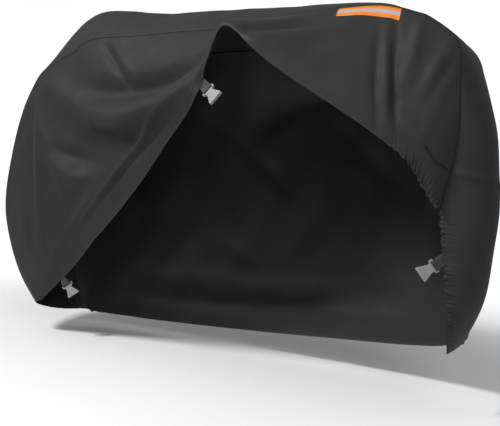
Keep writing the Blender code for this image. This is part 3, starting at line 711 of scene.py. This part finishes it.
def banded_tape():
    """Woven tape with straight orange bands beside a band of silver glass-bead reflective film."""
    made, tree, shader = material("orange tape with a reflective band")
    parts = node(tree, "SeparateXYZ", Vector=node(tree, "UVMap", {"uv_map": "cut"}).outputs["UV"])
    silver = node(tree, "ValToRGB", Fac=parts.outputs["Y"])
    stops = silver.color_ramp
    stops.interpolation = "CONSTANT"
    stops.elements[0].color = (0, 0, 0, 1)
    stops.elements[1].position = 0.36
    stops.elements[1].color = (1, 1, 1, 1)
    stops.elements.new(0.66).color = (0, 0, 0, 1)
    place = node(tree, "TexCoord").outputs["Object"]
    beads = node(tree, "TexVoronoi", {"Scale": 1400.0}, Vector=place)
    dirt = node(tree, "TexNoise", {"Scale": 40.0, "Detail": 4.0}, Vector=place)
    film = node(tree, "MapRange", {"To Min": 0.92, "To Max": 1.05}, Value=dirt.outputs["Fac"])
    base = node(tree, "Mix", {"data_type": "RGBA", 6: linear("#c96e0d"), 7: linear("#8e9296")},
                i0=silver.outputs["Color"])
    shade = node(tree, "VectorMath", {"operation": "SCALE"}, i0=base.outputs[2], Scale=film.outputs[0])
    tree.links.new(shade.outputs[0], shader.inputs["Base Color"])
    bumped = node(tree, "Bump", {"Strength": 0.4, "Distance": 0.12 * MM}, Height=beads.outputs["Distance"])
    tree.links.new(bumped.outputs[0], shader.inputs["Normal"])
    shader.inputs["Roughness"].default_value = 0.45
    return made


def studio_floor():
    """Pale painted board, matt, that passes into the white of the studio away from the cover."""
    made, tree, shader = material("pale matt floor")
    place = node(tree, "TexCoord").outputs["Object"]
    mottle = node(tree, "TexNoise", {"Scale": 1.5, "Detail": 3.0}, Vector=place)
    tone = node(tree, "ValToRGB", Fac=mottle.outputs["Fac"])
    tone.color_ramp.elements[0].color = linear("#e4e4e4")
    tone.color_ramp.elements[1].color = linear("#ebebeb")
    tree.links.new(tone.outputs["Color"], shader.inputs["Base Color"])
    away = node(tree, "VectorMath", {"operation": "LENGTH"}, i0=place).outputs["Value"]
    left = node(tree, "MapRange", {"interpolation_type": "SMOOTHSTEP", "From Min": 0.9, "From Max": 2.6,
                                   "To Min": 1.0, "To Max": 0.0}, Value=away)
    tree.links.new(left.outputs["Result"], shader.inputs["Alpha"])
    shader.inputs["Roughness"].default_value = 0.9
    shader.inputs["Specular IOR Level"].default_value = 0.1
    return made


DRAWN_WEAVE = 1.1 * MM
FACE = coated_polyester("coated polyester face", "#1e1e1e", "#303030", 0.62, DRAWN_WEAVE)
COATING = coated_polyester("dark polyurethane coating", "#252324", "#343233", 0.50, DRAWN_WEAVE)
WEBBING = woven_webbing()
MOULDED = acetal()
BANDS = banded_tape()
SEWING = coated_polyester("polyester sewing thread", "#2a2a2a", "#2a2a2a", 0.7, 0.5 * MM)
# Near black, a painted shade: it stands for the shadow in the slit's sunk middle line, on the lips' middle
# strip
SHADE = coated_polyester("painted shade inside the slit", "#0c0c0c", "#0c0c0c", 0.9, DRAWN_WEAVE)


# ---------------------------------------------------------------- the three cloth pieces

KNOTS = strip_knots()
END = KNOTS[-1]


def knot(name):
    """Distance along the strip of one of its table's rows."""
    return KNOTS[row_number(name)]


def spread(count, lean=1.0, crowding=0.0):
    """Places from 0 to 1, a cell apart; lean above 1 sets them closer near 0, crowding near 0.8."""
    even = np.linspace(0, 1, count + 1)
    return even ** lean + crowding * (np.sin(2 * math.pi * (even - 0.3)) + math.sin(0.6 * math.pi))


def fine_rows(count, length, lean=1.0, crowding=0.0):
    """Each column's places from seam to hem: a few close rows at both ends, the rest spread between."""
    seam_rows = np.array([0, 1.5, 3.5, 6.5, 10]) * MM
    hem_rows = np.array([34, 28, 25.5, 23.5, 21, 18, 12, 6, 2.5, 1, 0]) * MM
    first = seam_rows[-1] / length[:, None]
    last = 1 - hem_rows[0] / length[:, None]
    middle = first + (last - first) * spread(count + 1, lean, crowding)[None, 1:-1]
    return np.concatenate([seam_rows / length[:, None], middle, 1 - hem_rows / length[:, None]], axis=1)


def side_grid(table, seam, at, rows, lean=1.0, crowding=0.0):
    """A side piece's fine grid."""
    ends = spline(KNOTS[[row_number(row.at) for row in table]], [row[1:4] for row in table], at)
    length = np.maximum(np.linalg.norm(ends - seam, axis=1), 0.1)
    return side_surface(table, seam, at, fine_rows(rows, length, lean, crowding))


def read_grid(points, column, row):
    """Place and unit normal (away from the cover) at a place between a grid's points."""
    c, r = int(column), int(row)
    u, v = column - c, row - r
    corners = points[c:c + 2, r:r + 2]
    place = (1 - u) * ((1 - v) * corners[0, 0] + v * corners[0, 1])
    place = place + u * ((1 - v) * corners[1, 0] + v * corners[1, 1])
    along = (1 - v) * (corners[1, 0] - corners[0, 0]) + v * (corners[1, 1] - corners[0, 1])
    across = (1 - u) * (corners[0, 1] - corners[0, 0]) + u * (corners[1, 1] - corners[1, 0])
    normal = np.cross(across, along)
    return place, normal / np.linalg.norm(normal)


def hem_frame(points, strap):
    """Where a strap leaves its hem: x along its pull, y across it, z out of the cover."""
    edge, inner = (0, 1) if strap.under == "top_strip" else (-1, -2)
    c, u = int(strap.column), strap.column % 1
    hem = (1 - u) * points[c, edge] + u * points[c + 1, edge]
    outward = hem - (1 - u) * points[c, inner] - u * points[c + 1, inner]
    along = Vector(points[c + 1, edge] - points[c, edge]).normalized()
    square = Vector(outward)
    square = (square - along * square.dot(along)).normalized()
    normal = square.cross(along)
    turn = math.radians(strap.turn)
    pull = square * math.cos(turn) + along * math.sin(turn)
    made = Matrix((pull, normal.cross(pull), normal)).transposed().to_4x4()
    made.translation = Vector(hem) - normal * STRAP_UNDER
    return made


def lie_on_straps(points, under):
    """Draw the cloth flat where the straps are sewn under it."""
    for strap in STRAPS:
        if strap.under != under:
            continue
        axes = np.array(HEMS[strap.name])
        local = (points - axes[:3, 3]) @ axes[:3, :3]
        x, y, z = np.moveaxis(local, 2, 0)
        off = ((x + 0.004) / STRAP_PRESS) ** 2 + (y / STRAP_PRESS) ** 2
        weight = np.exp(-off ** 2)
        points = points + ((STRAP_UNDER - z) * weight)[:, :, None] * axes[:3, 2]
    return points


# The solids' grids, which carry the fittings
SOLID_AT = columns()
solid_strip = strip_surface(SOLID_AT, np.linspace(-1, 1, STRIP_CELLS + 1))
lifted = SOLID_AT <= knot(NEAR[-1].at) + 1e-6
solid_down = np.tile(spread(NEAR_CELLS, crowding=CROWDING), (lifted.sum(), 1))
solid_near = side_surface(NEAR, solid_strip[lifted, 0], SOLID_AT[lifted], solid_down)
solid_near = folded(solid_near, -normals(solid_near), SOLID_FOLDS, FOLD_TAPER)
start_after_seam(solid_near)
HEMS = {s.name: hem_frame(solid_near if s.under == "near_side" else solid_strip, s) for s in STRAPS}


def near_points():
    """The near side as it shows, from its seam to its lifted hem, and how pale it is rubbed."""
    gathered = knot("brow_front") + 0.08
    end = knot(NEAR[-1].at)
    at = np.concatenate([
        np.linspace(0, gathered, round(gathered / ALONG_STEP), endpoint=False),
        np.linspace(gathered, end, round((end - gathered) / GATHER_STEP)),
    ])
    seam = fine_strip(at, np.array([-1.0]))[:, 0]
    _, rim_out = creased_strip(at, np.array([-1.0, -0.98]))
    points = side_grid(NEAR, seam, at, NEAR_ROWS, crowding=CROWDING)
    own = ramp(lengths(points, 1), 0, SETTLE)[:, :, None]
    out = rim_out[:, :1] * (1 - own) - normals(points) * own
    out /= np.linalg.norm(out, axis=2)[:, :, None]
    points = folded(points, out, NEAR_FOLDS)
    out = -normals(points)
    below = lengths(points, 1)
    inward = below[:, -1:] - below
    hem_run = lengths(points[:, -1:], 0)
    front = ramp(at, knot("brow_front") + 0.02, knot("nose"))[:, None]
    rear = REAR_GATHERS * (1 - ramp(hem_run, 0.05, 0.30))
    swells = unevenness(points, *NEAR_SWELLS) * ramp(below, 0, SETTLE) * ramp(inward, 0, SETTLE)
    swells += gathers(hem_run, inward, rear, SLOW_PLEAT)
    lift = swells + gathers(hem_run, inward, front) + hem_shape(inward) + seam_shape(below)
    drawn = points[:, -2:-1] - points[:, -1:]
    drawn = drawn / np.linalg.norm(drawn, axis=2)[:, :, None]
    points = points + out * lift[:, :, None] + drawn * scallop(hem_run, inward, front)[:, :, None]
    tuck_under_strip(points, at, -1)
    return lie_on_straps(points, "near_side"), rubbed(inward)


def far_points():
    """The far side as it hangs, from its seam to its hem, and how pale it is rubbed."""
    at = np.linspace(0, END, round(END / ALONG_STEP))
    seam = fine_strip(at, np.array([1.0]))[:, 0]
    points = side_grid(FAR, seam, at, FAR_ROWS, lean=1.1)
    points = folded(points, normals(points), FAR_FOLDS)
    out = normals(points)
    below = lengths(points, 1)
    inward = below[:, -1:] - below
    hem_run = lengths(points[:, -1:], 0)
    ends = 1 - ramp(at, 0.1, 0.5)[:, None] + ramp(at, knot("front_high"), knot("front_low"))[:, None]
    corner = 1 - 0.8 * ramp(at, END - 0.12, END - 0.02)[:, None]
    strength = (FAR_GATHERS + FAR_END_GATHERS * ends) * corner
    swells = unevenness(points, *FAR_SWELLS) * ramp(below, 0, 0.08)
    swells += gathers(hem_run, inward, strength, SLOW_PLEAT)
    lift = swells + hem_shape(inward) + seam_shape(below)
    points = points + out * lift[:, :, None]
    tuck_under_strip(points, at, 1)
    return points, rubbed(inward)


def strip_points():
    """The top strip from hem to hem, its near edge free past the near side's end, and its rubbing."""
    sewn = knot("front_belly") - 0.04
    at = np.concatenate([
        np.linspace(0, sewn, round(sewn / STRIP_STEP), endpoint=False),
        np.linspace(sewn, END, round((END - sewn) / FREE_STEP)),
    ])
    edge = np.array([0, 0.010, 0.022, 0.042, 0.065])
    across = np.concatenate([edge - 1, np.linspace(-0.9, 0.9, STRIP_ROWS), 1 - edge[::-1]])
    points, _ = creased_strip(at, across)
    out = normals(points)
    side = lengths(points, 1)
    inward = np.minimum(side, side[:, -1:] - side)
    along = lengths(points, 0)
    from_end = np.minimum(along, along[-1:] - along)
    free = ramp(at, knot("front_belly") - 0.01, knot("front_belly") + 0.04)[:, None]
    run = along[:, :1] + 0.31       # out of step with the near side's pleats
    off = (at[:, None] - CREASE_AT - CREASE_LEAN * across) / CREASE_WIDTH
    crease = STRIP_CREASE * np.exp(-off ** 2) * ramp(across, -1.3, -0.7) * (1 - ramp(across, 0.1, 0.8))
    crest = CREST_DENT * np.exp(-((across - CREST_ACROSS) / CREST_WIDTH) ** 2)
    crest = crest * (ramp(at, *CREST_FROM) * (1 - ramp(at, *CREST_TO)))[:, None]
    at_ends = STRIP_END_GATHERS * ramp(inward, 0.01, 0.05)
    free = free * ramp(from_end, 0.015, 0.07)
    lift = gathers(side, from_end, at_ends, SLOW_PLEAT) + gathers(run, side, free) + seam_shape(inward)
    lift = lift + hem_shape(from_end) + hem_shape(side) * free + crease + crest
    lift = lift + unevenness(points, *STRIP_SWELLS) * ramp(inward, 0, 0.05)
    drawn = points[:, 1:2] - points[:, :1]
    drawn = drawn / np.linalg.norm(drawn, axis=2)[:, :, None]
    points = points + out * lift[:, :, None] + drawn * scallop(run, side, free)[:, :, None]
    return lie_on_straps(points, "top_strip"), rubbed(from_end)


near, near_wear = near_points()
far, far_wear = far_points()
strip, strip_wear = strip_points()
strip_flat = np.stack([lengths(strip, 0), lengths(strip, 1)], -1)

# The first material is on the side that a grid's own normals point to, which is out of the cover
# but for the near side's grid, where it is in
near_side = lay("near_side_cloth", near, near[:, :, ::2], [COATING, FACE], "near_side",
                near_wear)
far_side = lay("far_side_cloth", far, far[:, :, ::2], [FACE, COATING], "far_side",
               far_wear)
top_strip = lay("top_strip_cloth", strip, strip_flat, [FACE, COATING], "top_strip",
                strip_wear)


# ---------------------------------------------------------------- tape, slit and straps

near_out = -normals(near)
number = np.arange(near[:, :, 0].size).reshape(near.shape[:2])
corners = [number[:-1, :-1], number[1:, :-1], number[1:, 1:], number[:-1, 1:]]
near_cells = np.stack(corners, -1).reshape(-1, 4)
near_tree = BVHTree.FromPolygons(near.reshape(-1, 3).tolist(), near_cells.tolist())


def on_near_cloth(places, outs):
    """The places on the near side as it shows, straight below places on its solid."""
    found = []
    for place, out in zip(places, outs):
        hit = near_tree.ray_cast(Vector(place + REACH_OUT * out), Vector(-out), REACH_IN)[0]
        if hit is None:
            hit = near_tree.find_nearest(Vector(place))[0]
        found.append(hit)
    return np.array(found)


def tape_points():
    """The tape's middle surface, laid on the near side below its seam."""
    first = int(np.searchsorted(SOLID_AT, knot("brow") - 1e-6))
    along = np.linspace(first, first + TAPE_COLUMNS, 57)
    rows = np.linspace(*TAPE_ROWS, 11)
    grid = [[read_grid(solid_near, column, row) for row in rows] for column in along]
    places = np.array([[place for place, _ in line] for line in grid])
    outs = np.array([[out for _, out in line] for line in grid])
    laid = on_near_cloth(places.reshape(-1, 3), outs.reshape(-1, 3)).reshape(places.shape)
    for _ in range(2):
        laid[1:-1] = (laid[:-2] + 2 * laid[1:-1] + laid[2:]) / 4
    return laid + outs * (CLOTH / 2 + TAPE_CLEAR + TAPE / 2)


def welt_points():
    """The slit's two rolled lips, with the sunk line between them."""
    middle = spline([0, 0.25, 0.65, 1], SLIT, np.linspace(0, 1, 41))
    places, outs = (np.array(part) for part in zip(*[read_grid(solid_near, *place) for place in middle]))
    places = on_near_cloth(places, outs)
    for _ in range(4):
        places[1:-1] = (places[:-2] + 2 * places[1:-1] + places[2:]) / 4
    beside = np.cross(outs, np.gradient(places, axis=0))
    beside /= np.linalg.norm(beside, axis=1)[:, None]
    open_at = np.sin(np.linspace(0, math.pi, 41))[:, None] ** 0.5
    across = np.array([-1, -0.9, -0.6, -0.34, -0.2, 0, 0.2, 0.34, 0.6, 0.9, 1])
    height = np.array([0, 0.7, 1.25, 0.95, 0.1, -0.2, 0.1, 0.95, 1.25, 0.7, 0]) * MM
    half = WELT_WIDTH / 2 * (0.65 + 0.5 * open_at)
    spread = places[:, None] + beside[:, None] * (across * half)[:, :, None]
    rise = CLOTH / 2 + TAPE_CLEAR + WELT / 2 + 0.2 * MM + height * (0.35 + 0.65 * open_at)
    return spread + outs[:, None] * rise[:, :, None]


def strap_points(strap):
    """Webbing from under the hem, round the buckle's bar and back; and how far along it each row is."""
    turns = np.radians(np.linspace(LOOP_TURN, -LOOP_TURN, 33))
    loop = [(BAR / 2 + LOOP_RADIUS * math.cos(a), LOOP_RADIUS * math.sin(a)) for a in turns]
    free = np.linspace(-strap.reach, -LOOP_START, WEB_STEPS * 3 + 1)
    upper = [(along, WEB_LAYER) for along in (-strap.reach - WEB_TUCK, *free)]
    lower = [(along, -up) for along, up in reversed(upper)]
    path = np.array(upper + loop + lower)
    across = np.linspace(-1, 1, 13)
    rows = []
    for along, up in path:
        twist = math.radians(strap.twist) * np.interp(along, free[[3, -1]], (0, 1))
        turned = Matrix.Rotation(twist, 3, "X")
        row = [turned @ Vector((strap.reach + along, y * WEB_WIDTH / 2, up)) for y in across]
        rows.append([(HEMS[strap.name] @ spot)[:] for spot in row])
    run = np.insert(np.cumsum(np.linalg.norm(np.diff(path, axis=0), axis=1)), 0, 0)
    flat = np.stack(np.broadcast_arrays(run[:, None], across * WEB_WIDTH / 2), -1)
    return np.array(rows), flat


tape_grid = tape_points()
part_way = np.linspace(0, 1, tape_grid.shape[1])
tape_flat = np.stack(np.broadcast_arrays(lengths(tape_grid, 0)[:, 5:6], part_way), -1)
tape = lay("sewn_tape", tape_grid, tape_flat, [BANDS], "tape")

welt_grid = welt_points()
welt_flat = np.stack([lengths(welt_grid, 0), lengths(welt_grid, 1)], -1)
welt = lay("slit_lips", welt_grid, welt_flat, [FACE, SHADE], "slit_welt")
# The lips' middle strip takes the near-black painted shade of the slit's gap
for face in welt.data.polygons:
    cell = np.mean([welt.data.uv_layers["cut"].data[i].uv[1] for i in face.loop_indices])
    edge = welt_flat[20, -1, 1] / 2
    face.material_index = int(abs(cell - edge) < 0.45 * edge)

straps = []
for strap in STRAPS:
    grid, flat = strap_points(strap)
    straps.append(lay(strap.name + "_webbing", grid, flat, [WEBBING], strap.name + "_strap"))
    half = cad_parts[strap.name + "_buckle"]
    for holder in half.material_slots:
        holder.material = MOULDED


# ---------------------------------------------------------------- stitching

def seam_line(points, outs, column):
    """A line of a grid along which thread is sewn, on the cloth's outer face."""
    return points[:, column] + outs[:, column] * SEWN_UP, outs[:, column]


def box_line(strap):
    """The box of stitches that holds a strap under its hem."""
    frame_of_hem = HEMS[strap.name]
    far_end, near_end, half = -0.0105, -0.0030, 0.012
    corners = [(far_end, -half), (near_end, -half), (near_end, half), (far_end, half), (far_end, -half)]
    points = np.array([(frame_of_hem @ Vector((x, y, STRAP_UNDER + SEWN_UP)))[:] for x, y in corners])
    return points, np.tile(np.array(frame_of_hem)[:3, 2], (5, 1))


far_out = normals(far)
strip_out = normals(strip)
strip_hems = [(strip[row] + strip_out[row] * SEWN_UP, strip_out[row]) for row in (4, -5)]
strip_sewing = stitches("seam_stitches", [
    seam_line(strip, strip_out, TOPSTITCH), seam_line(strip, strip_out, -1 - TOPSTITCH),
    *strip_hems, *[box_line(strap) for strap in STRAPS if strap.under == "top_strip"]], [SEWING])
near_sewing = stitches("near_stitches", [
    seam_line(near, near_out, TOPSTITCH + 1), seam_line(near, near_out, HEM_STITCH),
    *[box_line(strap) for strap in STRAPS if strap.under == "near_side"]], [SEWING])
far_sewing = stitches("far_stitches", [
    seam_line(far, far_out, TOPSTITCH + 1), seam_line(far, far_out, HEM_STITCH)], [SEWING])
tape_out = -normals(tape_grid)
tape_rise = TAPE / 2 + 0.1 * MM
tape_sewing = stitches("tape_stitches", [
    (tape_grid[:, row] + tape_out[:, row] * tape_rise, tape_out[:, row]) for row in (1, -2)], [SEWING])
welt_out = normals(welt_grid)
ends = [(welt_grid[row] + welt_out[row] * (WELT / 2 + 0.1 * MM), welt_out[row]) for row in (1, -2)]
welt_sewing = stitches("slit_stitches", ends, [SEWING], stitch=0.0016, pitch=0.0018)

for piece in (near_side, far_side, top_strip):
    thicken(piece, CLOTH, behind=1)
thicken(tape, TAPE)
thicken(welt, WELT)
for band in straps:
    thicken(band, WEB)


# ---------------------------------------------------------------- stage

def area_light(name, place, target, size, power):
    lamp = bpy.data.lights.new(name, "AREA")
    lamp.shape = "DISK"
    lamp.size = size
    lamp.energy = power
    holder = bpy.data.objects.new(name, lamp)
    holder.location = place
    holder.rotation_euler = (Vector(target) - Vector(place)).to_track_quat("-Z", "Y").to_euler()
    scene.collection.objects.link(holder)


FLOOR_RADIUS = 30
bm = bmesh.new()
bmesh.ops.create_circle(bm, cap_ends=True, segments=96, radius=FLOOR_RADIUS)
floor_mesh = bpy.data.meshes.new("floor")
bm.to_mesh(floor_mesh)
bm.free()
floor = bpy.data.objects.new("floor", floor_mesh)
floor.location.z = -REST_HEIGHT
floor_mesh.materials.append(studio_floor())
scene.collection.objects.link(floor)

# A soft light high up at the near side, and a weaker, wider one low ahead of the cover
area_light("key", (-1.0, -2.8, 2.3), (0.0, 0.0, -0.45), 0.9, 180)
area_light("fill", (3.0, -2.6, 0.6), (0.1, 0.0, -0.5), 2.4, 70)

# White where the camera sees it, and a dim even light on the cover
world = bpy.data.worlds.new("studio")
world.use_nodes = True
sky = world.node_tree.nodes["Background"]
sky.inputs["Color"].default_value = linear("#ffffff")
seen = node(world.node_tree, "LightPath").outputs["Is Camera Ray"]
strength = node(world.node_tree, "MapRange", {"To Min": 0.34, "To Max": 1.0}, Value=seen)
world.node_tree.links.new(strength.outputs[0], sky.inputs["Strength"])
scene.world = world
scene.view_settings.view_transform = "Standard"

# The camera stands low, ahead of the cover and to its near side
EYE = Vector((1.328, -1.703, 0.512 - REST_HEIGHT))
YAW, PITCH, ROLL = (math.radians(angle) for angle in (33.8, -0.47, 2.65))
PHOTO_WIDTH = 500         # pixels
FOCAL_PIXELS = 639.7      # focal length, in the photo's pixels
SENSOR = 36

ahead = Vector((-math.sin(YAW) * math.cos(PITCH), math.cos(YAW) * math.cos(PITCH), math.sin(PITCH)))
level = ahead.cross(Vector((0, 0, 1))).normalized()
upward = level.cross(ahead)
right = math.cos(ROLL) * level + math.sin(ROLL) * upward
top = -math.sin(ROLL) * level + math.cos(ROLL) * upward
lens = bpy.data.cameras.new("camera")
lens.sensor_width = SENSOR
lens.lens = FOCAL_PIXELS / PHOTO_WIDTH * SENSOR
camera = bpy.data.objects.new("camera", lens)
camera.matrix_world = Matrix.Translation(EYE) @ Matrix((right, top, -ahead)).transposed().to_4x4()
scene.collection.objects.link(camera)
scene.camera = camera
